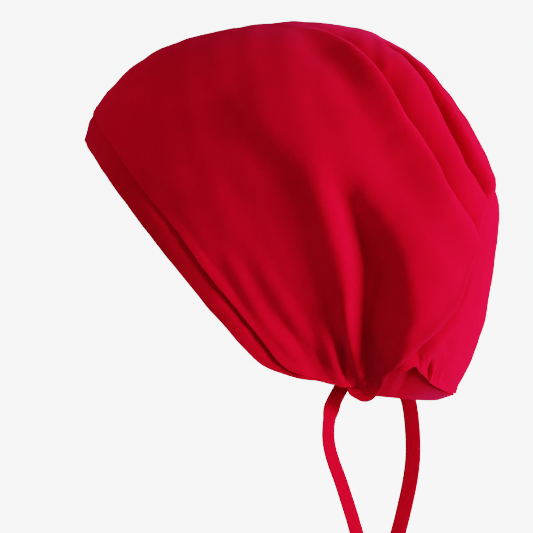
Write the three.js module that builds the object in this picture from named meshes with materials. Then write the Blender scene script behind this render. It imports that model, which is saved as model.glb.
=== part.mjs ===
// Scrub cap: a soft cloth cap with a folded front band, a loose pleated crown,
// a back panel over a nape casing, and two flat ties that hang from the gathered corners.
//
// Millimetres, +Z up. The wearer faces -Y and the wearer's left is +X.
// The origin is the top of the hollow, where the top of the head rests.
//
// The whole cap is one surface, swept like a pram hood: arches that all start at the gathered
// corner on one side and end at the gathered corner on the other. A place on it is
//   angle: degrees around the line through both corners, 0 straight back and 90 straight up
//   share: how far along the arch, 0 at the corner and 1 on the cap's midline
//   side:  1 on the wearer's left, -1 on the wearer's right
import * as THREE from 'three';

// Driving dimensions
const CLOTH = 1.2;
const GAP = 0.3;
const CORNER = new THREE.Vector3(48, 41, -203);
const RIGHT_SIDE_FOLDS = 0.8;
const TIE_WIDTH = 9;
const TIE_THICKNESS = 1.2;
const NAPE_HALF_WIDTH = 48;
const NAPE_DEPTH = 43.5;
const BULGE = { out: [0.4, 1], up: [0.1, 0.45] };
const NAPE_LEVEL = { corner: -207.5, middle: -211 };

// One arch a row: its height over the corner line, half its width, the height where it is widest
// as a share of the whole, and how square its top is (2 is an ellipse).
const ARCHES = table(['angle', 'reach', 'halfWidth', 'widestAt', 'squareness'], [
  [-180, 50, 50, 0.4, 2.2],
  [-40, 50, 50, 0.4, 2.2],
  [-5, 53, 52, 0.4, 2.2],
  [8, 59.5, 55, 0.42, 2.2],
  [20, 69.5, 59, 0.45, 2.2],
  [32, 83, 64, 0.47, 2.2],
  [44, 103.5, 69, 0.48, 2.2],
  [52, 125, 73, 0.48, 2.2],
  [60, 141, 77, 0.48, 2.2],
  [70, 161, 80, 0.48, 2.2],
  [80, 182, 82, 0.48, 2.2],
  [88, 197, 83, 0.48, 2.2],
  [97, 205, 83, 0.48, 2.15],
  [110, 213.5, 82, 0.47, 2.1],
  [124, 221.5, 80, 0.46, 2.05],
  [134, 217, 78, 0.45, 2],
  [138, 210, 77, 0.45, 2],
  [150, 200, 76, 0.45, 2],
  [180, 190, 74, 0.45, 2],
]);

// Seams and edges, each as the angle it has at some shares of the arches.
const FRONT_EDGE = table(['share', 'angle'], [
  [0.04, 178],
  [0.1, 173.5],
  [0.16, 169.5],
  [0.23, 168.3],
  [0.275, 166.5],
  [0.325, 159.5],
  [0.37, 153.3],
  [0.44, 148],
  [0.55, 143.4],
  [0.675, 140.6],
  [0.8, 139.1],
  [1, 138.3],
]);
const FRONT_SEAM = table(['share', 'angle'], [
  [0.04, 171],
  [0.1, 169],
  [0.16, 166.5],
  [0.23, 164],
  [0.3, 151.5],
  [0.35, 146],
  [0.39, 143],
  [0.45, 140.3],
  [0.51, 138.1],
  [0.6, 136.9],
  [0.7, 135.7],
  [0.8, 135],
  [1, 134.5],
]);
const BACK_SEAM = table(['share', 'angle'], [
  [0.04, -168],
  [0.1, -160],
  [0.12, -94],
  [0.15, -66],
  [0.175, -38],
  [0.2, 15],
  [0.235, 29],
  [0.285, 35.5],
  [0.35, 38.5],
  [0.46, 40.3],
  [0.55, 43],
  [0.64, 47.5],
  [0.71, 51],
  [0.75, 53],
  [0.81, 54.8],
  [1, 56.5],
]);
const CASING_SEAM = table(['share', 'angle'], [
  [0.15, 60],
  [0.262, 45],
  [0.28, 25.8],
  [0.32, 25],
  [0.36, 17],
  [0.53, 2],
  [0.8, -5],
  [1, -6],
]);

// The three tucks on each side of the upper rear: the share where each edge lies at some angles.
const TUCKS = table(['angle', 'outer', 'middle', 'inner'], [
  [46, 0.715, 0.755, 0.8],
  [54.5, 0.645, 0.76, 0.812],
  [64.5, 0.618, 0.728, 0.79],
  [72, 0.636, 0.752, 0.815],
  [79, 0.66, 0.815, 0.85],
  [84, 0.705, 0.87, 0.9],
  [88, 0.75, 0.9, 0.932],
  [92, 0.81, 0.925, 0.955],
  [97, 0.87, 0.935, 0.965],
  [110, 0.9, 0.945, 0.975],
]);
// The heights across the tucks in mm: each edge stands over a lower landing. Each place lies beyond
// an edge by a share, and its height fades between two angles towards the forehead. The tucks are
// sewn flat at the back seam and stand fully some mm from it.
const TUCK_LANDING = 0.014;
const TUCK_SEWN = 8;
const TUCK_PROFILE = table(['edge', 'beyond', 'height', 'full', 'none'], [
  ['outer', -0.12, 0, 86, 99],
  ['outer', 0, 4.4, 86, 99],
  ['outer', TUCK_LANDING, -2.8, 86, 99],
  ['middle', 0, 4, 79, 88],
  ['middle', TUCK_LANDING, -4, 79, 88],
  ['inner', -TUCK_LANDING, -4, 78, 87],
  ['inner', 0, 4.2, 78, 87],
  ['midline', 0, 0.8, 78, 92],
]);

// Soft folds of the sides: the places that each passes, its height there in mm (below 0 is a
// valley), and how far it spreads there towards the forehead and towards the nape, in mm.
const FOLDS = table(['fold', 'angle', 'share', 'height', 'ahead', 'behind'], [
  ['shoulder ridge', 113.5, 0.7, 0, 12, 20],
  ['shoulder ridge', 111.2, 0.615, 3, 14, 40],
  ['shoulder ridge', 105, 0.525, 5.5, 16, 40],
  ['shoulder ridge', 99.3, 0.43, 6, 18, 24],
  ['shoulder ridge', 96, 0.35, 6, 17, 14],
  ['shoulder ridge', 92.2, 0.24, 5.5, 13, 10],
  ['shoulder ridge', 86, 0.14, 3, 7, 7],
  ['pocket', 97, 0.49, 0, 9, 12],
  ['pocket', 91, 0.42, -5, 13, 20],
  ['pocket', 82.5, 0.35, -7, 13, 25],
  ['pocket', 83, 0.27, -7, 10, 28],
  ['pocket', 77, 0.18, -4.5, 7, 20],
  ['pocket', 60, 0.133, -2, 5, 12],
  ['bulge', 95, 0.5, 0, 12, 20],
  ['bulge', 83, 0.44, 5, 16, 36],
  ['bulge', 68.8, 0.407, 7, 20, 42],
  ['bulge', 50, 0.34, 7.5, 22, 36],
  ['bulge', 28, 0.24, 1, 12, 14],
  ['valley beside the tuck', 99, 0.86, 0, 12, 10],
  ['valley beside the tuck', 91.5, 0.72, -3.4, 19, 11],
  ['valley beside the tuck', 85.5, 0.645, -4, 24, 12],
  ['valley beside the tuck', 78, 0.555, -3, 26, 18],
  ['valley beside the tuck', 65.5, 0.49, 0, 20, 20],
  ['front drape', 132.5, 0.415, 0, 7, 7],
  ['front drape', 137.5, 0.358, 1.6, 7, 8],
  ['front drape', 145.4, 0.296, 1.4, 6, 7],
  ['front drape', 150, 0.25, 0, 5, 5],
  ['side drape', 126, 0.4, 0, 7, 8],
  ['side drape', 128, 0.32, 1.9, 8, 9],
  ['side drape', 132, 0.24, 1.4, 7, 8],
  ['side drape', 139, 0.16, 0, 5, 5],
]);

// How many degrees either side of its path a fold's spread changes from one side's to the other's.
const FOLD_TURN = 6;

// The cloth swells beside a seam: the height in mm and how far from the seam it is highest.
const FRONT_PUFF = { height: 1, peak: 8 };
const BACK_ROLL = { height: 3.6, peak: 8 };
const PANEL_DIP = { height: -2.5, peak: 8 };
// Folds and swellings begin outside the gather, and the back seam lies flat near the midline.
const GATHER = { none: 0.1, full: 0.22 };
const SWELL_STARTS = { none: 0.16, full: 0.32 };
const DIP_STARTS = { none: 0.3, full: 0.45 };
const BACK_FLAT = { none: 0.5, full: 0.7 };

// The ties' middle lines, from the root inside the corner to the free end.
const TIE_LEFT_ROUTE = [
  [46.4, 35.5, -198.5], [46.6, 33.6, -202], [46.8, 31.5, -206], [47, 28.9, -211], [47.2, 27, -217],
  [47.2, 25.9, -224], [47, 25.7, -231], [46.8, 26.7, -238], [46.6, 28.9, -245.5], [46.5, 31.7, -253],
  [46.4, 34.2, -260.5], [46.3, 36.6, -268], [46.2, 38.8, -275], [46, 40.6, -281.5], [45.8, 42.7, -289],
  [45.6, 44.4, -296],
];
const TIE_RIGHT_ROUTE = [
  [-45.7, 43, -199.8], [-43.8, 48, -200.6], [-41, 53.6, -202.2], [-38.2, 59.4, -205.6], [-36.2, 63.6, -210],
  [-35, 65.8, -215], [-34.6, 67, -221], [-34.4, 67.8, -228], [-34.3, 68.3, -235], [-34.2, 68.5, -242],
  [-34.2, 68.3, -249], [-34.2, 67.6, -256], [-34.3, 66.5, -263], [-34.4, 65.1, -270],
  [-34.6, 63.3, -278], [-34.8, 61.5, -285.5], [-35, 59.5, -293], [-35.2, 57.4, -300],
];

// Cloth colours
const RED = 0xb3061f;
const DEEP_RED = 0x9c0519;

// Tables and smooth curves

function table(columns, rows) {
  return rows.map((row) => Object.fromEntries(columns.map((column, i) => [column, row[i]])));
}

const steepness = (a, b, key, column) => (b[column] - a[column]) / (b[key] - a[key]);

// The slope at a row that lets the curve pass smoothly and never overshoot.
function slopeAt(rows, i, key, column) {
  const before = steepness(rows[Math.max(i - 1, 0)], rows[Math.max(i, 1)], key, column);
  const last = rows.length - 1;
  const after = steepness(rows[Math.min(i, last - 1)], rows[Math.min(i + 1, last)], key, column);
  return before * after > 0 ? (2 * before * after) / (before + after) : 0;
}

// A column's value on a smooth curve through the rows, at a value of the key column.
function lookUp(rows, key, column, at) {
  const place = THREE.MathUtils.clamp(at, rows[0][key], rows.at(-1)[key]);
  const i = Math.max(0, Math.min(rows.length - 2, rows.findIndex((row) => row[key] >= place) - 1));
  const [a, b] = [rows[i], rows[i + 1]];
  const span = b[key] - a[key];
  const u = (place - a[key]) / span;
  const v = 1 - u;
  return (
    v * v * (1 + 2 * u) * a[column] +
    u * u * (1 + 2 * v) * b[column] +
    span * u * v * (v * slopeAt(rows, i, key, column) - u * slopeAt(rows, i + 1, key, column))
  );
}

const rise = (low, high, at) => THREE.MathUtils.smoothstep(at, low, high);
const fall = (low, high, at) => 1 - rise(low, high, at);
const mix = THREE.MathUtils.lerp;

// The plain surface

// A cubic curve from 0 to 1 with two handles.
function cubic(first, second, u) {
  const v = 1 - u;
  return 3 * v * v * u * first + 3 * v * u * u * second + u ** 3;
}

// Half an arch: a curve that bulges out from the corner to the widest place, then part of a rounded
// square over to the midline. Both are shared out by about their lengths.
function archPlace(arch, share) {
  const widest = arch.widestAt * arch.reach;
  const spread = arch.halfWidth - CORNER.x;
  const lowerLength = 1.05 * Math.hypot(spread, widest);
  const upperLength = (Math.PI / 2) * Math.sqrt((arch.halfWidth ** 2 + (arch.reach - widest) ** 2) / 2);
  const split = lowerLength / (lowerLength + upperLength);
  if (share < split) {
    const u = share / split;
    return [CORNER.x + spread * cubic(...BULGE.out, u), widest * cubic(...BULGE.up, u)];
  }
  const turn = ((share - split) / (1 - split)) * (Math.PI / 2);
  const power = 2 / arch.squareness;
  const x = arch.halfWidth * Math.max(Math.cos(turn), 0) ** power;
  return [x, widest + (arch.reach - widest) * Math.sin(turn) ** power];
}

function plainPlace(angle, share, side = 1) {
  const arch = { angle };
  for (const column of ['reach', 'halfWidth', 'widestAt', 'squareness']) {
    arch[column] = lookUp(ARCHES, 'angle', column, angle);
  }
  const [x, height] = archPlace(arch, Math.min(share, 1));
  const turn = THREE.MathUtils.degToRad(angle);
  const y = CORNER.y + height * Math.cos(turn);
  return new THREE.Vector3(side * x, y, CORNER.z + height * Math.sin(turn));
}

const along = (rows, share) => lookUp(rows, 'share', 'angle', share);

// Folds, tucks and swellings

// A fold's path as close-set places, each with its height and its spread to either side.
function foldPath(fold) {
  const stepsApart = 8;
  const rows = fold.map((row, order) => ({ ...row, order }));
  return Array.from({ length: stepsApart * (rows.length - 1) + 1 }, (_, i) => {
    const knot = {};
    for (const column of ['angle', 'share', 'height', 'ahead', 'behind']) {
      knot[column] = lookUp(rows, 'order', column, i / stepsApart);
    }
    return { ...knot, place: plainPlace(knot.angle, knot.share) };
  });
}

function seamPath(rows, low, high) {
  const steps = 48;
  return Array.from({ length: steps + 1 }, (_, i) => {
    const share = mix(low, high, i / steps);
    return { angle: along(rows, share), share, place: plainPlace(along(rows, share), share) };
  });
}

const FOLD_PATHS = Object.values(Object.groupBy(FOLDS, ({ fold }) => fold)).map(foldPath);
const FRONT_SEAM_PATH = seamPath(FRONT_SEAM, 0.1, 1);
const BACK_SEAM_PATH = seamPath(BACK_SEAM, 0.17, 1);

function nearest(path, place) {
  let found = { distance: Infinity };
  for (const knot of path) {
    const distance = knot.place.distanceTo(place);
    if (distance < found.distance) found = { knot, distance };
  }
  return found;
}

function foldHeight(path, angle, place) {
  const { knot, distance } = nearest(path, place);
  const spread = mix(knot.behind, knot.ahead, rise(-FOLD_TURN, FOLD_TURN, angle - knot.angle));
  const u = Math.min(distance / spread, 1);
  return knot.height * 0.5 * (1 + Math.cos(Math.PI * u));
}

// Rises from the seam to its height at its peak, then fades away.
function swell({ height, peak }, distance) {
  const u = distance / peak;
  return height * u * Math.exp(1 - u);
}

// The share of each tuck's edge at an angle.
function tuckEdges(angle) {
  const edges = { midline: 1 };
  for (const edge of ['outer', 'middle', 'inner']) edges[edge] = lookUp(TUCKS, 'angle', edge, angle);
  return edges;
}

function tuckHeight(angle, share) {
  const edges = tuckEdges(angle);
  const places = TUCK_PROFILE.map((row) => ({
    at: edges[row.edge] + row.beyond,
    height: row.height * fall(row.full, row.none, angle),
  }));
  const next = places.findIndex(({ at }) => at >= share);
  if (next === 0) return 0;
  if (next < 0) return places.at(-1).height;
  const [low, high] = [places[next - 1], places[next]];
  return mix(low.height, high.height, rise(low.at, high.at, share));
}

// How far the cloth stands off the plain surface.
function clothHeight(angle, share, side) {
  const place = plainPlace(angle, share);
  let height = 0;
  for (const path of FOLD_PATHS) height += foldHeight(path, angle, place);
  if (side < 0) height *= RIGHT_SIDE_FOLDS;
  height *= rise(GATHER.none, GATHER.full, share);
  const puff = rise(SWELL_STARTS.none, SWELL_STARTS.full, share);
  const dip = rise(DIP_STARTS.none, DIP_STARTS.full, share);
  const flat = fall(BACK_FLAT.none, BACK_FLAT.full, share);
  const front = nearest(FRONT_SEAM_PATH, place).distance;
  const back = nearest(BACK_SEAM_PATH, place).distance;
  if (angle < along(FRONT_SEAM, share)) height += puff * swell(FRONT_PUFF, front);
  if (angle < along(BACK_SEAM, share)) return height + dip * flat * swell(PANEL_DIP, back);
  height += puff * flat * swell(BACK_ROLL, back);
  return height + tuckHeight(angle, share) * rise(0, TUCK_SEWN, back);
}

// The plain surface's outward direction.
function outward(placeAt, angle, share, side) {
  const [turn, slide] = [0.5, 0.004];
  const up = placeAt(angle + turn, share, side).sub(placeAt(angle - turn, share, side));
  const before = placeAt(angle, share - slide, side);
  const over = share + slide;
  const after = over > 1 ? placeAt(angle, 2 - over, -side) : placeAt(angle, over, side);
  return up.cross(after.sub(before)).multiplyScalar(-side).normalize();
}

function clothPlace(angle, share, side) {
  const place = plainPlace(angle, share, side);
  const direction = outward(plainPlace, angle, share, side);
  return place.addScaledVector(direction, clothHeight(angle, share, side));
}

// Walls

// A closed wall of cloth between a grid of outer places and the same grid moved inwards.
// Each cell of the grid is { place, direction }, and rows and columns are in right-handed order.
function wallOf(grid, thickness) {
  const [rows, columns] = [grid.length, grid[0].length];
  const positions = [];
  const faces = [];
  for (const depth of [0, thickness]) {
    for (const { place, direction } of grid.flat()) {
      positions.push(...place.clone().addScaledVector(direction, -depth));
    }
  }
  const at = (layer, r, c) => layer * rows * columns + r * columns + c;
  // The right side's cells are cut along the mirrored diagonal.
  const quad = (a, b, c, d, mirrored) => {
    if (mirrored) faces.push(a, d, b, b, d, c);
    else faces.push(a, c, b, a, d, c);
  };
  for (let r = 0; r + 1 < rows; r++) {
    for (let c = 0; c + 1 < columns; c++) {
      const mirrored = 2 * c + 1 > columns;
      quad(at(0, r, c), at(0, r, c + 1), at(0, r + 1, c + 1), at(0, r + 1, c), mirrored);
      quad(at(1, r, c), at(1, r + 1, c), at(1, r + 1, c + 1), at(1, r, c + 1), mirrored);
    }
  }
  for (let c = 0; c + 1 < columns; c++) {
    quad(at(0, 0, c), at(1, 0, c), at(1, 0, c + 1), at(0, 0, c + 1));
    quad(at(0, rows - 1, c), at(0, rows - 1, c + 1), at(1, rows - 1, c + 1), at(1, rows - 1, c));
  }
  for (let r = 0; r + 1 < rows; r++) {
    quad(at(0, r, 0), at(0, r + 1, 0), at(1, r + 1, 0), at(1, r, 0));
    quad(at(0, r, columns - 1), at(1, r, columns - 1), at(1, r + 1, columns - 1), at(0, r + 1, columns - 1));
  }
  const geometry = new THREE.BufferGeometry();
  geometry.setAttribute('position', new THREE.Float32BufferAttribute(positions, 3));
  geometry.setIndex(faces);
  geometry.computeVertexNormals();
  return geometry;
}

// The columns of the left side, then the same again mirrored, with the midline once.
function bothSides(columns) {
  const left = columns.map((column) => [column, 1]);
  const right = columns.slice(0, -1).map((column) => [column, -1]);
  return [...left, ...right.reverse()];
}

// A grid of cloth cells: rows from one edge to the other, columns from the left corner over the
// midline to the right corner. shareOf turns a column and the row's angles into a share.
function clothGrid(rows, leftColumns, fromAngle, toAngle, shareOf = (share) => share) {
  const columns = bothSides(leftColumns);
  return Array.from({ length: rows + 1 }, (_, r) =>
    columns.map(([column, side]) => {
      const share = shareOf(column, (s) => mix(fromAngle(s), toAngle(s), r / rows));
      const angle = mix(fromAngle(share), toAngle(share), r / rows);
      const place = clothPlace(angle, share, side);
      return { place, direction: outward(clothPlace, angle, share, side) };
    }),
  );
}

// The angle on one side of a seam that leaves room, in mm, to the seam's own line.
function besideSeam(seam, way, room = GAP / 2) {
  return (share) => {
    const angle = seam(share);
    const height = plainPlace(angle, share).setX(0).distanceTo(new THREE.Vector3(0, CORNER.y, CORNER.z));
    return angle + (way * THREE.MathUtils.radToDeg(room)) / height;
  };
}

const evenShares = (from, steps) => Array.from({ length: steps + 1 }, (_, i) => mix(from, 1, i / steps));

function clothMesh(name, geometry, color) {
  const material = new THREE.MeshStandardMaterial({ color, roughness: 0.62, metalness: 0 });
  const mesh = new THREE.Mesh(geometry, material);
  mesh.name = name;
  return mesh;
}

// Pieces

// The crown's columns follow the tucks, so that each tuck's edge is a straight run of the grid.
const CROWN_CORNER = 0.015;
const SIDE_BAY = 18;
const BAND_CORNER = 0.11;
const PANEL_CORNER = 0.28;
const CASING_CORNER = 0.24;
const COLUMNS = [
  ...Array.from({ length: SIDE_BAY + 1 }, (_, i) => ['side', (i / SIDE_BAY) ** 1.2]),
  ...['outerLow', 'middle', 'middleLow', 'innerLow', 'inner'].map((mark) => [mark, 0]),
  ['top', 0.5],
  ['top', 1],
];

function columnShare([mark, u], angle) {
  const { outer, middle, inner } = tuckEdges(angle);
  const marks = {
    side: mix(CROWN_CORNER, outer, u),
    outerLow: outer + TUCK_LANDING,
    middle,
    middleLow: middle + TUCK_LANDING,
    innerLow: inner - TUCK_LANDING,
    inner,
    top: mix(inner, 1, u),
  };
  return marks[mark];
}

// The share where a column crosses a line, given as the line's angle at each share. It closes in on
// the crossing by half of what is left each time.
function crossing(column, angleAt) {
  const tries = 30;
  let share = 0.7;
  for (let i = 0; i < tries; i++) share = mix(share, columnShare(column, angleAt(share)), 0.5);
  return share;
}

const frontSeam = (share) => along(FRONT_SEAM, share);
const backSeam = (share) => along(BACK_SEAM, share);

// The shares where the crown's columns meet a seam, past a piece's own corner.
const sharesOn = (seam, corner) =>
  COLUMNS.map((column) => crossing(column, seam)).filter((share) => share > corner);

function crown() {
  const [start, end] = [besideSeam(frontSeam, -1), besideSeam(backSeam, 1)];
  return clothMesh('crown', wallOf(clothGrid(32, COLUMNS, start, end, crossing), CLOTH), RED);
}

function frontBand() {
  const start = (share) => along(FRONT_EDGE, share);
  const grid = clothGrid(2, sharesOn(frontSeam, BAND_CORNER), start, besideSeam(frontSeam, 1));
  return clothMesh('front_band', wallOf(grid, CLOTH), DEEP_RED);
}

function backPanel() {
  const end = (share) => along(CASING_SEAM, share);
  const grid = clothGrid(8, sharesOn(backSeam, PANEL_CORNER), besideSeam(backSeam, -1, GAP), end);
  return clothMesh('back_panel', wallOf(grid, CLOTH), RED);
}

// The casing hangs from inside the back panel's lower edge to a U around the nape.
function backBand() {
  const rows = 3;
  const tuckedIn = CLOTH + 3 * GAP;
  const strip = bothSides(evenShares(CASING_CORNER, 16)).map(([share, side]) => {
    const angle = Math.min(along(CASING_SEAM, share), along(BACK_SEAM, share));
    const inward = outward(clothPlace, angle, share, side);
    const top = clothPlace(angle, share, side).addScaledVector(inward, -tuckedIn);
    const turn = Math.atan2(top.y - CORNER.y, Math.abs(top.x));
    const x = side * NAPE_HALF_WIDTH * Math.cos(turn);
    const level = mix(NAPE_LEVEL.corner, NAPE_LEVEL.middle, Math.sin(turn));
    return [top, new THREE.Vector3(x, CORNER.y + NAPE_DEPTH * Math.sin(turn), level)];
  });
  const placeAt = (r, c) => strip[c][0].clone().lerp(strip[c][1], r / rows);
  const grid = Array.from({ length: rows + 1 }, (_, r) =>
    strip.map((_, c) => {
      const run = placeAt(r, Math.min(c + 1, strip.length - 1)).sub(placeAt(r, Math.max(c - 1, 0)));
      const drop = placeAt(rows, c).sub(placeAt(0, c));
      return { place: placeAt(r, c), direction: drop.cross(run).normalize() };
    }),
  );
  return clothMesh('back_band', wallOf(grid, CLOTH), DEEP_RED);
}

// A flat tape along a route. Its edges' corners are cut, and turned lays its width the other way.
function tie(name, route, steps, turned) {
  const path = new THREE.CatmullRomCurve3(route.map((place) => new THREE.Vector3(...place)));
  const [width, edge] = [TIE_WIDTH / 2, TIE_THICKNESS / 2];
  const outline = [[-edge, edge - width], [0, -width], [edge, edge - width], [edge, 0]];
  outline.push(...outline.map(([x, y]) => [-x, -y]));
  const corners = outline.map(([x, y]) => (turned ? new THREE.Vector2(y, x) : new THREE.Vector2(x, y)));
  const section = new THREE.Shape(corners);
  const geometry = new THREE.ExtrudeGeometry(section, { steps, extrudePath: path, bevelEnabled: false });
  return clothMesh(name, geometry, DEEP_RED);
}

const cap = new THREE.Group();
cap.add(crown(), frontBand(), backPanel(), backBand());
cap.add(tie('tie_left', TIE_LEFT_ROUTE, 18, false), tie('tie_right', TIE_RIGHT_ROUTE, 18, true));

export default cap;
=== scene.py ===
"""Scrub cap: a soft red cotton cap with a folded front band, a loose pleated crown, a back panel
over a nape casing, and two flat ties that hang from its gathered corners.

Shapes are worked out in millimetres in the frame's own axes: +Z up, the wearer faces -Y and the
wearer's left is +X. The cap is one surface, swept like a pram hood: arches that start at the
gathered corner on one side and end at the gathered corner on the other. A place on it is
  angle: degrees around the line through both corners, 0 straight back and 90 straight up
  share: how far along the arch, 0 at the corner and 1 on the cap's midline
"""
import math

import bpy
import numpy as np
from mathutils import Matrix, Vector


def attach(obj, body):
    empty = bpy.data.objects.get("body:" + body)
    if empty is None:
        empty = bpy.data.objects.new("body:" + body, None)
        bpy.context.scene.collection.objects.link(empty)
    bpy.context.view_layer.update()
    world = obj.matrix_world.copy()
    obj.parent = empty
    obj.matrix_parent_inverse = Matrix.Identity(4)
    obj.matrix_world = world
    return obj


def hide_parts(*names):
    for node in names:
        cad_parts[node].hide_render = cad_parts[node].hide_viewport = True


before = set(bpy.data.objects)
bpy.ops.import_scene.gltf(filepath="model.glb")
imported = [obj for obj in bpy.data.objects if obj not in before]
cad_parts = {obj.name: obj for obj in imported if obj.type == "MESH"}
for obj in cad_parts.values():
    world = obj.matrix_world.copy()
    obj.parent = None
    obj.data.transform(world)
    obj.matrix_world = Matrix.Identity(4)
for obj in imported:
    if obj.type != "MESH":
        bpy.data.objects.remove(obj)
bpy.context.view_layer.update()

# Driving dimensions, in mm

MM = 0.001
CLOTH = 0.9
BAND_CLOTH = 1.5
CORNER = np.array([48.0, 41.0, -203.0])
RIGHT_SIDE_FOLDS = 0.8
TIE_WIDTH = 9.0
TIE_THICKNESS = 1.1

# The casing's lower edge round the nape: half its width, its depth, and its level at the sides and
# behind. The casing starts at a share, never goes below an angle, and lies inside the panel.
NAPE_HALF_WIDTH = 48.0
NAPE_DEPTH = 43.5
NAPE_LEVEL = (-206.0, -211.0)
CASING_START = 0.15
LOWEST_CASING_ANGLE = -8
CASING_INSET = 1.0

# Along the front seam: the crown's lip and puff, and the band that dips under them. Here and below a
# pair of shares says between which two a feature starts, eases off or ends.
LIP = 2.2
LIP_WIDTH = 6
LIP_STARTS = (0.14, 0.26)
LIP_EASES = (0.42, 0.6)
EASED_LIP = 0.4
PUFF_STARTS = (0.16, 0.32)
FRONT_PUFF = 0.8
FRONT_PEAK = 12
BAND_DIP = 1.0
BAND_DIP_WIDTH = 5
BAND_CROWNING = 0.7
BAND_STARTS = (0.14, 0.28)

# Along the back seam: the crown's roll, which starts as the puff does, the lip of its flap, and how
# near the seam the tucks are sewn flat, in mm.
BACK_ROLL = 3.0
BACK_PEAK = 6.5
BACK_ROLL_ENDS = (0.5, 0.7)
BACK_LIP = 2.6
BACK_LIP_WIDTH = 8
BACK_LIP_STARTS = (0.22, 0.32)
TUCK_SEWN = 7

# The crown's edge hangs over the back panel as a flap between these shares. Of each pair under them
# the first is the panel's where it is plainly sewn, and the second where it lies under the flap: how
# many degrees it is tucked in, how deep it dips in mm, and how far the dip reaches in mm.
FLAP_STARTS = (0.28, 0.36)
FLAP_ENDS = (0.58, 0.74)
PANEL_TUCKED_IN = (1.6, 4.5)
PANEL_DIP = (1.5, 7.0)
PANEL_DIP_REACH = (5, 13)

# Beside the casing: the panel's hem, and its puckers, whose rate is in radians for the whole share.
PANEL_HEM = 1.2
HEM_WIDTH = 5
HEM_ENDS = (0.6, 0.75)
PUCKER = 1.0
PUCKER_RATE = 70
PUCKER_STARTS = (0.33, 0.4)
PUCKER_ENDS = (0.5, 0.62)
# How far from the casing, in mm, the puckers rise and fade.
PUCKER_RISES = (0, 3)
PUCKER_FADES = (4, 12)
# The second train of puckers: its height and rate as parts of the first's, its slant in radians for
# each mm from the casing, and its start.
SECOND_PUCKER = (0.7, 1.7, 0.15, 2)

# Soft folds fade in above an angle and past a share, and rise at most so steeply from the corner.
FOLDS_START = (-5, 25)
GATHER_ENDS = (0.03, 0.09)
STEEPEST_AT_CORNER = 0.4

# Arches: angle, height over the corner line, half width, height where it is widest as a share of
# the whole, and how square the top is (2 is an ellipse).
ARCHES = np.array([
    (-180, 50, 50, 0.4, 2.2),
    (-40, 50, 50, 0.4, 2.2),
    (-5, 53, 52, 0.4, 2.2),
    (8, 59.5, 55, 0.42, 2.2),
    (20, 69.5, 59, 0.45, 2.2),
    (32, 83, 64, 0.47, 2.2),
    (44, 103.5, 69, 0.48, 2.2),
    (52, 125, 73, 0.48, 2.2),
    (60, 141, 77, 0.48, 2.2),
    (70, 161, 80, 0.48, 2.2),
    (80, 182, 82, 0.48, 2.2),
    (88, 197, 83, 0.48, 2.2),
    (97, 205, 83, 0.48, 2.15),
    (110, 213.5, 82, 0.47, 2.1),
    (124, 221.5, 80, 0.46, 2.05),
    (134, 217, 78, 0.45, 2),
    (138, 210, 77, 0.45, 2),
    (150, 200, 76, 0.45, 2),
    (180, 190, 74, 0.45, 2),
])

# An arch's lower stretch is a curve with these handles, outwards and upwards, and is a little longer
# than straight.
OUTWARD_HANDLES = (0.4, 1)
UPWARD_HANDLES = (0.1, 0.45)
LOWER_LENGTH = 1.05

# Seams and edges: share, angle.
FRONT_EDGE = np.array([
    (0.04, 178), (0.1, 173.5), (0.16, 169.5), (0.23, 168.3), (0.275, 166.5), (0.325, 159.5),
    (0.37, 153.3), (0.44, 148), (0.55, 143.4), (0.675, 140.6), (0.8, 139.1), (1, 138.3),
])
FRONT_SEAM = np.array([
    (0.04, 179), (0.07, 178.5), (0.1, 171.5), (0.16, 166.5), (0.23, 164), (0.3, 151.5),
    (0.35, 146), (0.39, 143), (0.45, 140.3), (0.51, 138.1), (0.6, 136.9), (0.7, 135.7), (0.8, 135),
    (1, 134.5),
])
BACK_SEAM = np.array([
    (0.04, -179), (0.07, -178.5), (0.1, -171), (0.12, -94), (0.15, -66), (0.175, -38), (0.2, 15),
    (0.235, 29), (0.285, 35.5), (0.35, 38.5), (0.46, 40.3), (0.55, 43), (0.64, 47.5), (0.71, 51),
    (0.75, 53), (0.81, 54.8), (1, 56.5),
])
CASING_SEAM = np.array([
    (0.15, 60), (0.262, 45), (0.28, 25.8), (0.32, 25), (0.36, 17), (0.53, 2), (0.8, -5), (1, -6),
])

# The shares from which the distance to each seam is measured.
FRONT_SEAM_START = 0.1
BACK_SEAM_START = 0.17
CASING_SEAM_START = 0.28

# The three tucks on each side of the upper rear: angle, then the share of each edge.
TUCKS = np.array([
    (46, 0.715, 0.755, 0.8),
    (54.5, 0.645, 0.76, 0.812),
    (64.5, 0.618, 0.728, 0.79),
    (72, 0.636, 0.752, 0.815),
    (79, 0.66, 0.815, 0.85),
    (84, 0.705, 0.87, 0.9),
    (88, 0.75, 0.9, 0.932),
    (92, 0.81, 0.925, 0.955),
    (97, 0.87, 0.935, 0.965),
    (110, 0.9, 0.945, 0.975),
])
OUTER, MIDDLE, INNER, MIDLINE = 1, 2, 3, 4

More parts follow.
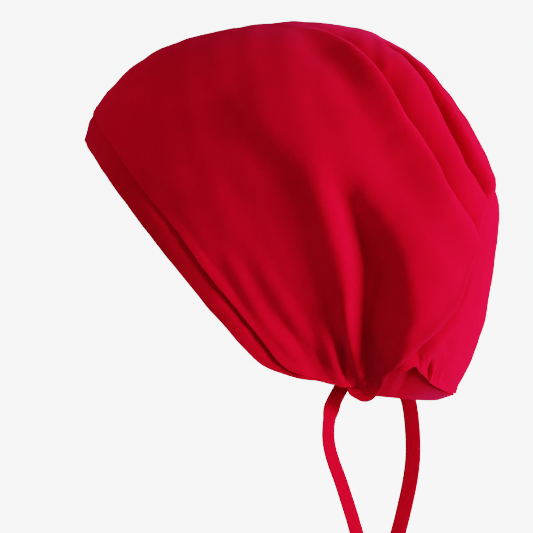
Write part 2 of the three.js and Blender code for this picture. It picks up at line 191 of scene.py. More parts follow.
# The section across the tucks, a row for each stretch of cloth: the edge it ends by, the share
# beyond that edge on the plain surface and where the tuck is full, the height in mm, the stretch's
# shape and its grid columns. An edge rolls over within ROLL, and the cloth goes back by UNDER below it.
ROLL = 0.018
UNDER = 0.008
TUCK_START = (OUTER, -ROLL, -ROLL, 5.2)
TUCK_SECTION = [
    (OUTER, -0.006, 0, 3.2, "over", 7),
    (OUTER, 0, -UNDER, -3.0, "straight", 4),
    (OUTER, 0.008, 0.008, -6.5, "into", 5),
    (MIDDLE, -ROLL, -ROLL, 5.2, "up", 15),
    (MIDDLE, -0.006, 0, 3.0, "over", 6),
    (MIDDLE, 0, -UNDER, -4.0, "straight", 4),
    (MIDDLE, 0.012, 0.012, -7.0, "into", 4),
    (INNER, -0.008, -0.006, -5.0, "straight", 2),
    (INNER, 0.002, 0, 5.0, "straight", 7),
    (INNER, 0.008, 0.006, 5.6, "over", 3),
    (MIDLINE, 0, 0, 0.8, "straight", 16),
]
TUCK_FADE = {OUTER: (86, 99), MIDDLE: (79, 88), INNER: (78, 87), MIDLINE: (78, 92)}
# How round the cloth's way up out of a tuck is: 0 is straight.
WAY_UP_ROUNDNESS = 0.4

# Rows and left-side columns of the other pieces' grids. Then the share where the band starts, how
# evenly its columns lie (1 is even), and the degrees that it stops short of its seam.
BAND_GRID = (13, 110)
PANEL_GRID = (61, 90)
CASING_GRID = (17, 84)
BAND_START = 0.11
BAND_EVENNESS = 0.9
BAND_SEAM_GAP = 0.08

# The crown's grid. Its rows settle on the seams in small steps.
SIDE_COLUMNS = 102
# The share of the side columns, closest together where the cloth turns round the gathered corner.
SIDE_SHARES = [(0, 0.002), (0.08, 0.08), (0.5, 0.25), (1, 0.68)]
# The share over which the crown rises to its first tuck.
TUCK_RISE = 0.12
CROWN_ROWS = 216
LOWEST_INNER_ANGLE = 12
SETTLING_STEPS = 40
SETTLING = 0.35

# Soft folds. Each is how crisp its flank is towards the forehead and towards the nape, then the
# places on its crest or floor: (angle, share, height in mm, spread towards each of the two in mm).
FOLDS = {
    "shoulder ridge": (0.5, 0, [
        (113.5, 0.7, 0, 10, 20), (112.3, 0.65, 1.6, 12, 34), (111.2, 0.615, 3, 13, 44),
        (108.5, 0.565, 4.5, 14, 46), (105, 0.525, 5.5, 15, 44), (101.5, 0.48, 6, 16, 34),
        (99.3, 0.43, 6.2, 17, 22), (97.6, 0.395, 6.2, 17, 18), (96.4, 0.36, 6.2, 17, 14),
        (93.8, 0.3, 6.2, 16, 11), (92.2, 0.24, 5.8, 12, 8), (90.6, 0.188, 5, 9, 7),
        (88.2, 0.162, 4.2, 7, 6), (83.9, 0.121, 3.2, 5, 5), (70, 0.09, 2, 4, 4),
    ]),
    "pocket": (0, 0, [
        (97, 0.49, 0, 8, 10), (93.5, 0.445, -3.5, 11, 16), (88.5, 0.4, -6, 12, 22),
        (82.5, 0.35, -7, 13, 25), (82.5, 0.305, -7, 11, 28), (83, 0.27, -7, 9, 29),
        (82, 0.235, -6.6, 8, 27), (79.9, 0.197, -5.5, 7, 24), (74.8, 0.172, -4.5, 6, 18),
        (59.9, 0.133, -3, 5, 12), (38, 0.12, -2, 4, 8),
    ]),
    "bulge": (0.85, 0, [
        (95, 0.5, 0, 12, 20), (88, 0.455, 3.5, 14, 34), (78.5, 0.428, 6, 17, 40),
        (68.8, 0.407, 7.5, 20, 42), (59, 0.38, 8, 22, 40), (50, 0.34, 8, 22, 36),
        (40, 0.3, 6.5, 20, 26), (24, 0.22, 2, 12, 14),
    ]),
    "wedge": (0, 0, [
        (84, 0.39, 0, 5, 6), (81, 0.365, 1.6, 6, 8), (79.5, 0.34, 2, 7, 8), (80, 0.31, 1, 5, 6),
        (81.5, 0.28, 0, 4, 5),
    ]),
    "valley beside the tuck": (0, 0, [
        (99, 0.86, 0, 12, 10), (95.7, 0.775, -2.5, 16, 12), (91.5, 0.72, -3.4, 19, 11),
        (85.5, 0.645, -4, 24, 12), (82, 0.6, -4, 26, 16), (78, 0.555, -3, 26, 18),
        (72.5, 0.51, -2, 24, 20), (65.5, 0.49, 0, 20, 20),
    ]),
    "soft streak": (0, 0, [
        (126, 0.4, 0, 7, 8), (126.8, 0.355, 1.5, 7, 8), (128, 0.32, 1.9, 7, 8),
        (129.3, 0.281, 1.9, 7, 8), (132, 0.24, 1.4, 7, 7), (139, 0.16, 0, 5, 5),
    ]),
    "second streak": (0, 0, [
        (132.5, 0.415, 0, 5, 6), (134.5, 0.384, 1.2, 5, 6), (137.5, 0.358, 1.6, 6, 7),
        (140.8, 0.33, 1.6, 6, 7), (145.4, 0.296, 1.2, 5, 6), (149, 0.26, 0, 4, 4),
    ]),
    "lobe": (0, 0, [
        (114.5, 0.24, 0, 7, 6), (120.5, 0.18, 3, 8, 6), (130.5, 0.13, 3, 8, 5), (160, 0.07, 1, 4, 3),
    ]),
    "dip behind the lobe": (0, 0, [
        (97.5, 0.205, 0, 5, 5), (103, 0.178, -1.8, 5, 5), (108.5, 0.155, -2.6, 6, 5),
        (115, 0.125, -2.6, 5, 4), (130, 0.085, -2, 3, 3), (165, 0.05, -1, 2, 2),
    ]),
    "drape": (0, 0, [
        (141, 0.31, 0, 8, 8), (146.5, 0.268, 1.6, 8, 8), (155, 0.217, 1.6, 7, 6), (166, 0.19, 1, 6, 6),
    ]),
    "upper crease": (1, 0.6, [
        (88.5, 0.94, 0, 3, 3), (87.4, 0.914, 1.2, 3, 4), (86, 0.856, 1.5, 3, 4),
        (85.3, 0.801, 1.5, 3, 4), (84.7, 0.77, 1, 3, 3), (84, 0.74, 0, 2, 2),
    ]),
    "side crease": (1, 0.6, [
        (83, 0.86, 0, 3, 3), (83.7, 0.834, 1.2, 3, 3), (84.6, 0.78, 1, 3, 3), (84.9, 0.755, 0, 2, 2),
    ]),
}

# How round a crisp fold's crest is, as a part of its spread.
CREST_ROUNDING = 0.1

# Faint waves: height in mm, then its turning per mm along each axis, then its start.
RIPPLES = [
    (0.16, (0.05, 0.31, 0.12), 0.4), (0.14, (0.11, -0.14, 0.33), 1.9), (0.12, (-0.3, 0.2, 0.21), 3.1),
    (0.1, (0.2, 0.52, -0.24), 4.4), (0.08, (0.33, -0.36, -0.5), 5.2),
]

# Where along a tie, in mm from its root, its twist starts and ends and its slow last turn ends. Then
# the places round its section, and how square that is across its width and its thickness (1 is an
# ellipse, 0 a rectangle).
TWIST_STARTS = 12
TWIST_ENDS = 26
LAST_TURN = 110
RING_SIDES = 20
WIDTH_ROUNDNESS = 0.35
THICKNESS_ROUNDNESS = 0.6

# The ties' middle lines, from the root inside the corner to the free end.
TIE_LEFT_ROUTE = [
    (46.4, 35.5, -198.5), (46.6, 33.6, -202), (46.8, 31.5, -206), (47, 28.9, -211), (47.2, 27, -217),
    (47.2, 25.9, -224), (47, 25.7, -231), (46.8, 26.7, -238), (46.6, 28.9, -245.5), (46.5, 31.7, -253),
    (46.4, 34.2, -260.5), (46.3, 36.6, -268), (46.2, 38.8, -275), (46, 40.6, -281.5),
    (45.8, 42.7, -289), (45.6, 44.4, -296),
]
TIE_RIGHT_ROUTE = [
    (-45.7, 43, -199.8), (-43.8, 48, -200.6), (-41, 53.6, -202.2), (-38.2, 59.4, -205.6),
    (-36.2, 63.6, -210), (-35, 65.8, -215), (-34.6, 67, -221), (-34.4, 67.8, -228),
    (-34.3, 68.3, -235), (-34.2, 68.5, -242), (-34.2, 68.3, -249), (-34.2, 67.6, -256),
    (-34.3, 66.5, -263), (-34.4, 65.1, -270), (-34.6, 63.3, -278), (-34.8, 61.5, -285.5),
    (-35, 59.5, -293), (-35.2, 57.4, -300),
]

# Smooth curves


def look_up(rows, at, column=1):
    """A column of the rows on a smooth curve that never overshoots, at values of the first column."""
    rows = np.asarray(rows, float)
    keys, values = rows[:, 0], rows[:, column]
    steps = np.diff(keys)
    steep = np.diff(values) / steps
    slope = np.concatenate([steep[:1], np.zeros(len(keys) - 2), steep[-1:]])
    together = steep[:-1] * steep[1:]
    total = np.where(together > 0, steep[:-1] + steep[1:], 1)
    slope[1:-1] = np.where(together > 0, 2 * together / total, 0)
    at = np.clip(at, keys[0], keys[-1])
    i = np.clip(np.searchsorted(keys, at) - 1, 0, len(keys) - 2)
    u = (at - keys[i]) / steps[i]
    v = 1 - u
    return (v * v * (1 + 2 * u) * values[i] + u * u * (1 + 2 * v) * values[i + 1]
            + steps[i] * u * v * (v * slope[i] - u * slope[i + 1]))


def rise(low, high, at):
    u = np.clip((at - low) / (high - low), 0, 1)
    return u * u * (3 - 2 * u)


def fall(low, high, at):
    return 1 - rise(low, high, at)


def mix(a, b, u):
    return a + (b - a) * u


def cubic(first, second, u):
    return 3 * (1 - u) ** 2 * u * first + 3 * (1 - u) * u * u * second + u ** 3


def spline(knots, steps):
    """Points on a smooth curve through the knots, steps to each stretch."""
    knots = np.asarray(knots, float)
    ends = np.vstack([2 * knots[0] - knots[1], knots, 2 * knots[-1] - knots[-2]])
    u = (np.arange(steps) / steps)[:, None]
    points = []
    for a, b, c, d in zip(ends, ends[1:], ends[2:], ends[3:]):
        points.append(0.5 * (2 * b + (c - a) * u + (2 * a - 5 * b + 4 * c - d) * u ** 2
                             + (3 * b - a - 3 * c + d) * u ** 3))
    return np.vstack(points + [knots[-1:]])


# The plain surface


def plain(angle, share):
    """The left side's plain surface, in mm."""
    angle, share = np.broadcast_arrays(np.asarray(angle, float), np.asarray(share, float))
    reach, wide, widest_at, square = (look_up(ARCHES, angle, k) for k in range(1, 5))
    widest = widest_at * reach
    spread = wide - CORNER[0]
    lower = LOWER_LENGTH * np.hypot(spread, widest)
    upper = math.pi / 2 * np.sqrt((wide ** 2 + (reach - widest) ** 2) / 2)
    split = lower / (lower + upper)
    u = np.clip(share / split, 0, 1)
    turn = np.clip((share - split) / (1 - split), 0, 1) * math.pi / 2
    low = share < split
    x = np.where(low, CORNER[0] + spread * cubic(*OUTWARD_HANDLES, u),
                 wide * np.clip(np.cos(turn), 0, 1) ** (2 / square))
    height = np.where(low, widest * cubic(*UPWARD_HANDLES, u),
                      widest + (reach - widest) * np.sin(turn) ** (2 / square))
    around = np.radians(angle)
    return np.stack([x, CORNER[1] + height * np.cos(around), CORNER[2] + height * np.sin(around)], -1)


def unit(vectors):
    return vectors / np.maximum(np.linalg.norm(vectors, axis=-1, keepdims=True), 1e-9)


def plain_outward(angle, share):
    turn, slide = 0.5, 0.004
    up = plain(angle + turn, share) - plain(angle - turn, share)
    over = share + slide
    after = plain(angle, np.where(over > 1, 2 - over, over))
    after = np.where((over > 1)[..., None], after * [-1, 1, 1], after)
    return unit(np.cross(after - plain(angle, share - slide), up))


# Folds, tucks and swellings


def near_path(points, path, values):
    """Distance to a path, the values there, and the side: 1 to the forehead and -1 to the nape."""
    flat = points.reshape(-1, 3)
    start, run = path[:-1], np.diff(path, axis=0)
    reach = np.maximum((run ** 2).sum(1), 1e-9)
    gap = flat[:, None, :] - start[None]
    u = np.clip((gap * run[None]).sum(2) / reach, 0, 1)
    off = gap - u[..., None] * run[None]
    distance = np.linalg.norm(off, axis=2)
    k = distance.argmin(1)
    each = np.arange(len(flat))
    u, off, distance = u[each, k], off[each, k], distance[each, k]
    value = mix(values[k], values[k + 1], u[:, None])
    ahead = -off[:, 1] / np.maximum(distance, 1e-6)
    shape = points.shape[:-1]
    return distance.reshape(shape), value.reshape(*shape, -1), ahead.reshape(shape)


def fold_height(fold, points):
    """A fold's height: soft like a wave, or steep beside its crest as far as it is crisp."""
    crisp_ahead, crisp_behind, places = fold
    line = spline(places, 10)
    distance, value, side = near_path(points, plain(line[:, 0], line[:, 1]), line[:, 2:])
    height, ahead, behind = np.moveaxis(value, -1, 0)
    forward = rise(-0.5, 0.5, side)
    u = np.minimum(distance / mix(behind, ahead, forward), 1)
    soft = 0.5 * (1 + np.cos(math.pi * u))
    bend = np.sqrt(u * u + CREST_ROUNDING ** 2) - CREST_ROUNDING
    longest = math.sqrt(1 + CREST_ROUNDING ** 2) - CREST_ROUNDING
    steep = np.clip(1 - bend / longest, 0, 1) ** 2
    return height * mix(soft, steep, mix(crisp_behind, crisp_ahead, forward))


def seam_path(seam, low, high):
    share = np.linspace(low, high, 60)
    return plain(look_up(seam, share), share)


def distance_to(seam, low, points):
    path = seam_path(seam, low, 1)
    return near_path(points, path, np.zeros((len(path), 1)))[0]


def swell(height, peak, distance):
    """Rises from the seam to its height at its peak, then fades away."""
    u = distance / peak
    return height * u * np.exp(1 - u)


def soft_heights(angle, share, points):
    """The soft folds of one side, kept small beside the corner, where the cloth is tightly gathered."""
    total = sum(fold_height(fold, points) for fold in FOLDS.values()) * rise(*FOLDS_START, angle)
    most = STEEPEST_AT_CORNER * np.linalg.norm(points - CORNER, axis=-1) + 0.01
    return most * np.tanh(total / most) * rise(*GATHER_ENDS, share)


def ripples(points):
    """Faint waves that no real cloth is without, in mm."""
    return sum(high * np.sin(points @ np.array(way) + start) for high, way, start in RIPPLES)


# Grids of cloth places, rows from one edge to the other and columns from corner to midline


def finish_side(angle, share, height):
    points = plain(angle, share)
    return points + plain_outward(angle, share) * (height + ripples(points))[..., None]


def both_sides(left, right):
    """The left side's columns, then the right side's mirrored, with the midline once."""
    mirrored = (right * [-1, 1, 1])[:, -2::-1]
    return np.concatenate([left, mirrored], axis=1)


def grid_normals(grid):
    down = np.gradient(grid, axis=0)
    along = np.gradient(grid, axis=1)
    return unit(np.cross(along, down))


def tuck_edges(angle):
    """The share of each tuck's edge at the angles."""
    edges = {k: look_up(TUCKS, angle, k) for k in (OUTER, MIDDLE, INNER)}
    edges[MIDLINE] = np.ones_like(angle)
    return edges


def tuck_column(k, u, at):
    """A place u along a stretch of the tucks' section at some angles: its share, how much of that is
    the tuck's own turn, and its height."""
    edges = tuck_edges(at)
    start_edge, start_beyond, start_full, start_height = (TUCK_SECTION[k - 1] if k else TUCK_START)[:4]
    end_edge, end_beyond, end_full, end_height, shape, _ = TUCK_SECTION[k]
    start_fade, end_fade = (fall(*TUCK_FADE[edge], at) for edge in (start_edge, end_edge))
    turn = u * math.pi / 2
    slide, drop = {
        "over": (math.sin(turn), 1 - math.cos(turn)),
        "straight": (u, u),
        "into": (1 - math.cos(turn), math.sin(turn)),
        "up": (mix(u, 1 - math.cos(turn), WAY_UP_ROUNDNESS), math.sin(turn)),
    }[shape]
    share = mix(edges[start_edge] + start_beyond, edges[end_edge] + end_beyond, u)
    full = mix(edges[start_edge] + start_full, edges[end_edge] + end_full, slide)
    height = mix(start_height * start_fade, end_height * end_fade, drop)
    return share, (full - share) * end_fade, height


def crown_grid():
    """Angle, share, tuck's turn and height of every place of the crown's grid on the left side."""
    columns = [(None, u) for u in np.linspace(0, 1, SIDE_COLUMNS)]
    for k, (*_, steps) in enumerate(TUCK_SECTION):
        columns += [(k, (i + 1) / steps) for i in range(steps)]
    rows = np.linspace(0, 1, CROWN_ROWS + 1)
    shape = (len(rows), len(columns))
    share, turned, height = np.full(shape, 0.7), np.zeros(shape), np.zeros(shape)
    angle = np.full(shape, 90.0)
    across = rows[:, None]
    for _ in range(SETTLING_STEPS):
        last = look_up(BACK_SEAM, share)
        inner = np.maximum(last, LOWEST_INNER_ANGLE)
        crossing = mix(look_up(FRONT_SEAM, share), mix(inner, last, across ** 3), across)
        angle = mix(angle, crossing, SETTLING)
        for c, (k, u) in enumerate(columns):
            at = angle[:, c]
            if k is None:
                edge = look_up(TUCKS, at, OUTER) - ROLL
                share[:, c] = look_up(SIDE_SHARES, u) + (edge - SIDE_SHARES[-1][1]) * u ** 3
                full = TUCK_START[3] * fall(*TUCK_FADE[OUTER], at)
                height[:, c] = full * rise(edge - TUCK_RISE, edge, share[:, c])
            else:
                share[:, c], turned[:, c], height[:, c] = tuck_column(k, u, at)
    return angle, share, turned, height


def crown_sides():
    angle, share, turned, tucks = crown_grid()
    points = plain(angle, share)
    front = distance_to(FRONT_SEAM, FRONT_SEAM_START, points)
    back = distance_to(BACK_SEAM, BACK_SEAM_START, points)
    puff = rise(*PUFF_STARTS, share)
    flat = fall(*BACK_ROLL_ENDS, share)
    sewn = rise(0, TUCK_SEWN, back)
    share = share + turned * sewn
    height = tucks * sewn
    lip = LIP * rise(*LIP_STARTS, share) * mix(1, EASED_LIP, rise(*LIP_EASES, share))
    height += puff * swell(FRONT_PUFF, FRONT_PEAK, front) + lip * fall(0, LIP_WIDTH, front)
    height += puff * flat * swell(BACK_ROLL, BACK_PEAK, back)
    flap = rise(*BACK_LIP_STARTS, share) * fall(*FLAP_ENDS, share)
    height += BACK_LIP * flap * fall(0, BACK_LIP_WIDTH, back)
    folds = soft_heights(angle, share, points)
    left = finish_side(angle, share, height + folds)
    right = finish_side(angle, share, height + folds * RIGHT_SIDE_FOLDS)
    return both_sides(left, right)


# Meshes

SHARP_ANGLE = math.radians(55)


def mesh_piece(name, places, faces, material, node, threads):
    """A piece of cloth from places in mm, and the metres along its two thread directions at each."""
    mesh = bpy.data.meshes.new(name)
    mesh.from_pydata((places * MM).tolist(), [], faces)
    corners = np.empty(len(mesh.loops), int)
    mesh.loops.foreach_get("vertex_index", corners)
    mesh.uv_layers.new(name="threads").data.foreach_set("uv", threads[corners].ravel())
    mesh.polygons.foreach_set("use_smooth", [True] * len(mesh.polygons))
    mesh.set_sharp_from_angle(angle=SHARP_ANGLE)
    mesh.materials.append(material)
    piece = bpy.data.objects.new(name, mesh)
    bpy.context.scene.collection.objects.link(piece)
    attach(piece, "root")
    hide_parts(node)
    return piece


def thread_places(grid):
    """Metres along the cloth at each place of a grid, across the columns and down the rows."""
    across = np.linalg.norm(np.diff(grid, axis=1, prepend=grid[:, :1]), axis=2).cumsum(axis=1)
    down = np.linalg.norm(np.diff(grid, axis=0, prepend=grid[:1]), axis=2).cumsum(axis=0)
    middle = grid.shape[1] // 2
    return np.stack([across - across[:, middle:middle + 1], down], -1) * MM


def wall(outer, thickness, stride):
    """A closed wall between a grid of outer places and a coarser grid moved inwards."""
    normals = grid_normals(outer)
    coarse = (outer - normals * thickness)[::stride, ::stride]
    rows, columns = outer.shape[:2]
    low_rows, low_columns = coarse.shape[:2]
    start = rows * columns
    at = np.arange(start).reshape(rows, columns)
    low = start + np.arange(low_rows * low_columns).reshape(low_rows, low_columns)
    faces = np.stack([at[:-1, :-1], at[1:, :-1], at[1:, 1:], at[:-1, 1:]], -1).reshape(-1, 4).tolist()
    faces += np.stack([low[:-1, :-1], low[:-1, 1:], low[1:, 1:], low[1:, :-1]], -1).reshape(-1, 4).tolist()
    for edge, under, flip in ((at[0], low[0], 0), (at[-1], low[-1], 1), (at[:, 0], low[:, 0], 1),
                              (at[:, -1], low[:, -1], 0)):
        for k in range(len(under) - 1):
            face = [*edge[k * stride:(k + 1) * stride + 1], under[k + 1], under[k]]
            faces.append([int(i) for i in (face[::-1] if flip else face)])
    threads = thread_places(outer)
    threads = np.vstack([threads.reshape(-1, 2), threads[::stride, ::stride].reshape(-1, 2)])
    return np.vstack([outer.reshape(-1, 3), coarse.reshape(-1, 3)]), faces, threads


def front_band_grid():
    row_count, column_count = BAND_GRID
    shares = mix(BAND_START, 1, np.linspace(0, 1, column_count) ** BAND_EVENNESS)[None]
    rows = np.linspace(0, 1, row_count)[:, None]
    angle = mix(look_up(FRONT_EDGE, shares), look_up(FRONT_SEAM, shares) + BAND_SEAM_GAP, rows)
    share = np.broadcast_to(shares, angle.shape)
    points = plain(angle, share)
    folds = soft_heights(angle, share, points)
    front = distance_to(FRONT_SEAM, FRONT_SEAM_START, points)
    dip = -BAND_DIP * rise(*BAND_STARTS, share) * fall(0, BAND_DIP_WIDTH, front)
    dip += BAND_CROWNING * np.sin(math.pi * rows) * rise(*BAND_STARTS, share)
    return both_sides(finish_side(angle, share, folds + dip),
                      finish_side(angle, share, folds * RIGHT_SIDE_FOLDS + dip))


def puckers(share, casing):
    """Uneven puckers beside the casing: two trains of waves, the second shorter, lower and askew."""
    height, rate, slant, start = SECOND_PUCKER
    second = np.sin(share * PUCKER_RATE * rate + casing * slant + start)
    waves = np.sin(share * PUCKER_RATE) + height * second
    along = rise(*PUCKER_STARTS, share) * fall(*PUCKER_ENDS, share)
    return PUCKER * waves * along * rise(*PUCKER_RISES, casing) * fall(*PUCKER_FADES, casing)


def panel_grid():
    row_count, column_count = PANEL_GRID
    shares = mix(CASING_SEAM_START, 1, np.linspace(0, 1, column_count))[None]
    rows = np.linspace(0, 1, row_count)[:, None]
    seam = look_up(BACK_SEAM, shares)
    flap = rise(*FLAP_STARTS, shares) * fall(*FLAP_ENDS, shares)
    angle = mix(seam + mix(*PANEL_TUCKED_IN, flap), look_up(CASING_SEAM, shares), rows)
    share = np.broadcast_to(shares, angle.shape)
    points = plain(angle, share)
    back = distance_to(BACK_SEAM, BACK_SEAM_START, points)
    dip = -mix(*PANEL_DIP, flap) * np.where(angle > seam, 1, fall(0, mix(*PANEL_DIP_REACH, flap), back))
    casing = distance_to(CASING_SEAM, CASING_SEAM_START, points)
    dip += PANEL_HEM * fall(0, HEM_WIDTH, casing) * fall(*HEM_ENDS, share)
    dip += puckers(share, casing)
    folds = soft_heights(angle, share, points)
    return both_sides(finish_side(angle, share, folds + dip),
                      finish_side(angle, share, folds * RIGHT_SIDE_FOLDS + dip))


def casing_grid():
    row_count, column_count = CASING_GRID
    shares = mix(CASING_START, 1, np.linspace(0, 1, column_count))[None]
    angle = np.minimum(look_up(CASING_SEAM, shares), look_up(BACK_SEAM, shares) + PANEL_TUCKED_IN[0])
    angle = np.maximum(angle, LOWEST_CASING_ANGLE)
    points = plain(angle, shares)
    side = finish_side(angle, shares, np.full(shares.shape, -CASING_INSET))
    top = both_sides(side, side)[0]
    turn = np.arctan2(top[:, 1] - CORNER[1], np.abs(top[:, 0]))
    level = mix(*NAPE_LEVEL, np.sin(turn))
    x = np.sign(top[:, 0] + 1e-9) * NAPE_HALF_WIDTH * np.cos(turn)
    bottom = np.stack([x, CORNER[1] + NAPE_DEPTH * np.sin(turn), level], -1)
    rows = np.linspace(0, 1, row_count)[:, None, None]
    return mix(top[None], bottom[None], rows)


def tape(name, node, route, turns, material):
    """A flat tape along its route. Its face turns from straight out to the rear by some degrees, given
    at the root, at the end of the twist and at the free end."""
    centre = spline(route, 10)
    run = unit(np.gradient(centre, axis=0))
    length = np.concatenate([[0], np.cumsum(np.linalg.norm(np.diff(centre, axis=0), axis=1))])
    at_root, twisted, at_end = turns
    turning = [(0, at_root), (TWIST_STARTS, at_root), (TWIST_ENDS, twisted), (LAST_TURN, at_end)]
    turn = np.radians(look_up(turning, length))
    facing = np.stack([np.cos(turn), np.sin(turn), np.zeros_like(turn)], -1)
    flat = unit(facing - run * (run * facing).sum(1)[:, None])
    across = np.cross(run, flat)
    around = np.arange(RING_SIDES) / RING_SIDES * 2 * math.pi
    wide = np.sign(np.cos(around)) * np.abs(np.cos(around)) ** WIDTH_ROUNDNESS * TIE_WIDTH / 2
    thick = np.sign(np.sin(around)) * np.abs(np.sin(around)) ** THICKNESS_ROUNDNESS * TIE_THICKNESS / 2
    rings = (centre[:, None] + across[:, None] * wide[None, :, None] + flat[:, None] * thick[None, :, None])
    count, sides = rings.shape[:2]
    at = np.arange(count * sides).reshape(count, sides)
    beside = np.roll(at, -1, axis=1)
    faces = np.stack([at[:-1], beside[:-1], beside[1:], at[1:]], -1).reshape(-1, 4).tolist()
    faces += [at[0, ::-1].tolist(), at[-1].tolist()]
    threads = np.stack([np.broadcast_to(wide, rings.shape[:2]) * MM,
                        np.broadcast_to(length[:, None], rings.shape[:2]) * MM], -1)
    piece = mesh_piece(name, rings.reshape(-1, 3), faces, material, node,
                       threads.reshape(-1, 2))
    return piece


# Materials

# Textures: their scale per metre, how slack the threads are, and the depths of the weave and of the
# soft crumple in mm. The tint goes from darker to brighter between two stops: position, brightness.
THREADS = 700
CRUMPLE_SCALE = 70
PATCH_SCALE = 26
GRAIN_SCALE = 1500
SLACK = 0.6
WEAVE = 0.05
CRUMPLE = 0.5
TINT_STOPS = ((0.1, 0.84), (0.42, 1.14))
CLOTH_LOOK = {
    "Roughness": 0.5,
    "Specular IOR Level": 0.0,
    "Sheen Weight": 0.25,
    "Sheen Roughness": 0.4,
    "Sheen Tint": (1.0, 0.1, 0.4, 1),
}


def texture(nodes, links, place, kind, scale, **settings):
    """A texture node of a scale per metre, on the cloth's own coordinates."""
    node = nodes.new(kind)
    links.new(place, node.inputs["Vector"])
    node.inputs["Scale"].default_value = scale
    for name, value in settings.items():
        if name in node.inputs:
            node.inputs[name].default_value = value
        else:
            setattr(node, name, value)
    return node


def bump(nodes, links, height, distance, under=None):
    node = nodes.new("ShaderNodeBump")
    node.inputs["Distance"].default_value = distance * MM
    links.new(height, node.inputs["Height"])
    if under:
        links.new(under.outputs["Normal"], node.inputs["Normal"])
    return node


def add_weave(nodes, links):
    """Fine threads both ways along the cloth, slightly slack, over a soft crumple."""
    place = nodes.new("ShaderNodeTexCoord")
    crumple = texture(nodes, links, place.outputs["Object"], "ShaderNodeTexNoise", CRUMPLE_SCALE,
                      Detail=3.0)
    soft = bump(nodes, links, crumple.outputs[0], CRUMPLE)
    waves = [texture(nodes, links, place.outputs["UV"], "ShaderNodeTexWave", THREADS, Distortion=SLACK,
                     bands_direction=way) for way in ("X", "Y")]
    threads = nodes.new("ShaderNodeMath")
    threads.operation = "ADD"
    for wave, socket in zip(waves, threads.inputs):
        links.new(wave.outputs["Fac"], socket)
    return bump(nodes, links, threads.outputs[0], WEAVE, soft)


def add_tint(nodes, links, colour):
    """The cloth's colour, a little uneven in soft patches and from thread to thread."""
    place = nodes.new("ShaderNodeTexCoord")
    patches = texture(nodes, links, place.outputs["Object"], "ShaderNodeTexNoise", PATCH_SCALE,
                      Detail=2.0)
    grain = texture(nodes, links, place.outputs["Object"], "ShaderNodeTexNoise", GRAIN_SCALE,
                    Detail=1.0)
    both = nodes.new("ShaderNodeMath")
    both.operation = "MULTIPLY"
    links.new(patches.outputs[0], both.inputs[0])
    links.new(grain.outputs[0], both.inputs[1])
    ramp = nodes.new("ShaderNodeValToRGB")
    links.new(both.outputs[0], ramp.inputs[0])
    for stop, (position, brightness) in zip(ramp.color_ramp.elements, TINT_STOPS):
        stop.position = position
        stop.color = (*(brightness * c for c in colour), 1)
    return ramp


def cloth_material(name, colour):
    material = bpy.data.materials.new(name)
    material.use_nodes = True
    nodes, links = material.node_tree.nodes, material.node_tree.links
    shader = nodes["Principled BSDF"]
    for socket, value in CLOTH_LOOK.items():
        shader.inputs[socket].default_value = value
    links.new(add_tint(nodes, links, colour).outputs[0], shader.inputs["Base Color"])
    links.new(add_weave(nodes, links).outputs["Normal"], shader.inputs["Normal"])
    return material


RED = cloth_material("red_cotton", (0.5, 0.0034, 0.027))
# A darker copy of the same red cotton, painted shade: it stands in for the shade on the casing tucked under
# the panel, and the front band and the ties wear it too.
RED_PAINTED_SHADE = cloth_material("deep_red_cotton", (0.44, 0.003, 0.023))

# Pieces


def add_sheet(name, node, grid, thickness, material, stride):
    places, faces, threads = wall(grid, thickness, stride)
    piece = mesh_piece(name, places, faces, material, node, threads)
    return piece


add_sheet("crown_cloth", "crown", crown_sides(), CLOTH, RED, stride=2)
# The front band, the casing and the ties take the darker copy of the cloth, which is painted shade.
add_sheet("front_band_cloth", "front_band", front_band_grid(), BAND_CLOTH, RED_PAINTED_SHADE,
          stride=1)
add_sheet("back_panel_cloth", "back_panel", panel_grid(), CLOTH, RED, stride=1)
add_sheet("back_band_cloth", "back_band", casing_grid(), BAND_CLOTH, RED_PAINTED_SHADE,
          stride=1)
tape("tie_left_tape", "tie_left", TIE_LEFT_ROUTE, (-25, 46, 38), RED_PAINTED_SHADE)
tape("tie_right_tape", "tie_right", TIE_RIGHT_ROUTE, (10, -6, 0), RED_PAINTED_SHADE)

# Camera, light and floor

TARGET = Vector((0, -0.0134, -0.1371))
CAMERA_DISTANCE = 1.4
CAMERA_AZIMUTH = math.radians(6)
FRAME_PIXELS = 533
PIXEL_AT_TARGET = 0.00057
HALF_FRAME = FRAME_PIXELS / 2 * PIXEL_AT_TARGET
FLOOR_LEVEL = -0.32

# The glow of the floor and the room as the camera sees them, and as they light the cap.
WHITE = 3.0
FRONT_GLOW = 0.6
REAR_GLOW = 0.12
FLOOR_GLOW = 0.12

# Area lights: name, azimuth (0 straight back, 90 the wearer's left), elevation, distance and size in
# metres, and power in watts.
LIGHTS = [
    ("key", 19, 3, 1.6, 0.6, 47),
    ("rim", -24, 10, 1.6, 0.7, 8),
    ("fill", 150, 35, 1.6, 1.2, 4),
]


def add_camera():
    camera = bpy.data.cameras.new("camera")
    holder = bpy.data.objects.new("camera", camera)
    bpy.context.scene.collection.objects.link(holder)
    away = Vector((math.cos(CAMERA_AZIMUTH), math.sin(CAMERA_AZIMUTH), 0))
    holder.location = TARGET + away * CAMERA_DISTANCE
    holder.rotation_euler = (-away).to_track_quat("-Z", "Y").to_euler()
    camera.sensor_width = 36
    camera.lens = camera.sensor_width / 2 * CAMERA_DISTANCE / HALF_FRAME
    bpy.context.scene.camera = holder


def add_light(name, azimuth, elevation, distance, size, power):
    """An area light that looks at the cap."""
    light = bpy.data.lights.new(name, "AREA")
    light.size = size
    light.energy = power
    holder = bpy.data.objects.new(name, light)
    bpy.context.scene.collection.objects.link(holder)
    a, e = math.radians(azimuth), math.radians(elevation)
    away = Vector((math.sin(a) * math.cos(e), math.cos(a) * math.cos(e), math.sin(e)))
    holder.location = TARGET + away * distance
    holder.rotation_euler = (-away).to_track_quat("-Z", "Y").to_euler()


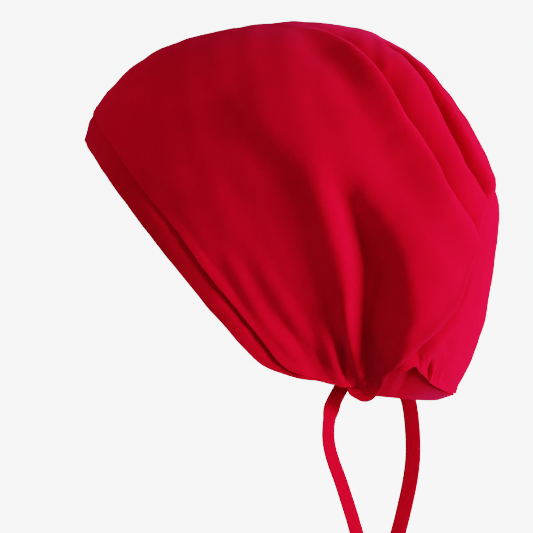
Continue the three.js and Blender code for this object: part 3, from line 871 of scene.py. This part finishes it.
def white_when_seen(tree, strength, ambient):
    """White where the camera looks straight at it, and the ambient strength as light on the cap."""
    path = tree.nodes.new("ShaderNodeLightPath")
    level = tree.nodes.new("ShaderNodeMapRange")
    level.inputs["To Max"].default_value = WHITE
    tree.links.new(ambient, level.inputs["To Min"])
    tree.links.new(path.outputs["Is Camera Ray"], level.inputs["Value"])
    tree.links.new(level.outputs["Result"], strength)


def add_floor():
    bpy.ops.mesh.primitive_plane_add(size=40, location=(0, 0, FLOOR_LEVEL))
    floor = bpy.context.object
    floor.name = "floor"
    material = bpy.data.materials.new("pale_floor")
    material.use_nodes = True
    shader = material.node_tree.nodes["Principled BSDF"]
    shader.inputs["Base Color"].default_value = (0.3, 0.3, 0.3, 1)
    shader.inputs["Roughness"].default_value = 1.0
    shader.inputs["Specular IOR Level"].default_value = 0.0
    shader.inputs["Emission Color"].default_value = (1, 1, 1, 1)
    ambient = material.node_tree.nodes.new("ShaderNodeValue")
    ambient.outputs[0].default_value = FLOOR_GLOW
    white_when_seen(material.node_tree, shader.inputs["Emission Strength"], ambient.outputs[0])
    floor.data.materials.append(material)


def add_world():
    world = bpy.data.worlds.new("studio")
    world.use_nodes = True
    background = world.node_tree.nodes["Background"]
    background.inputs["Color"].default_value = (1, 1, 1, 1)
    place = world.node_tree.nodes.new("ShaderNodeTexCoord")
    axes = world.node_tree.nodes.new("ShaderNodeSeparateXYZ")
    glow = world.node_tree.nodes.new("ShaderNodeMapRange")
    world.node_tree.links.new(place.outputs["Generated"], axes.inputs[0])
    world.node_tree.links.new(axes.outputs["Y"], glow.inputs["Value"])
    glow.inputs["From Min"].default_value = -1.0
    glow.inputs["To Min"].default_value = FRONT_GLOW
    glow.inputs["To Max"].default_value = REAR_GLOW
    white_when_seen(world.node_tree, background.inputs["Strength"], glow.outputs["Result"])
    bpy.context.scene.world = world


add_camera()
add_world()
add_floor()
for row in LIGHTS:
    add_light(*row)
bpy.context.scene.view_settings.view_transform = "Filmic"
bpy.context.scene.view_settings.look = "High Contrast"
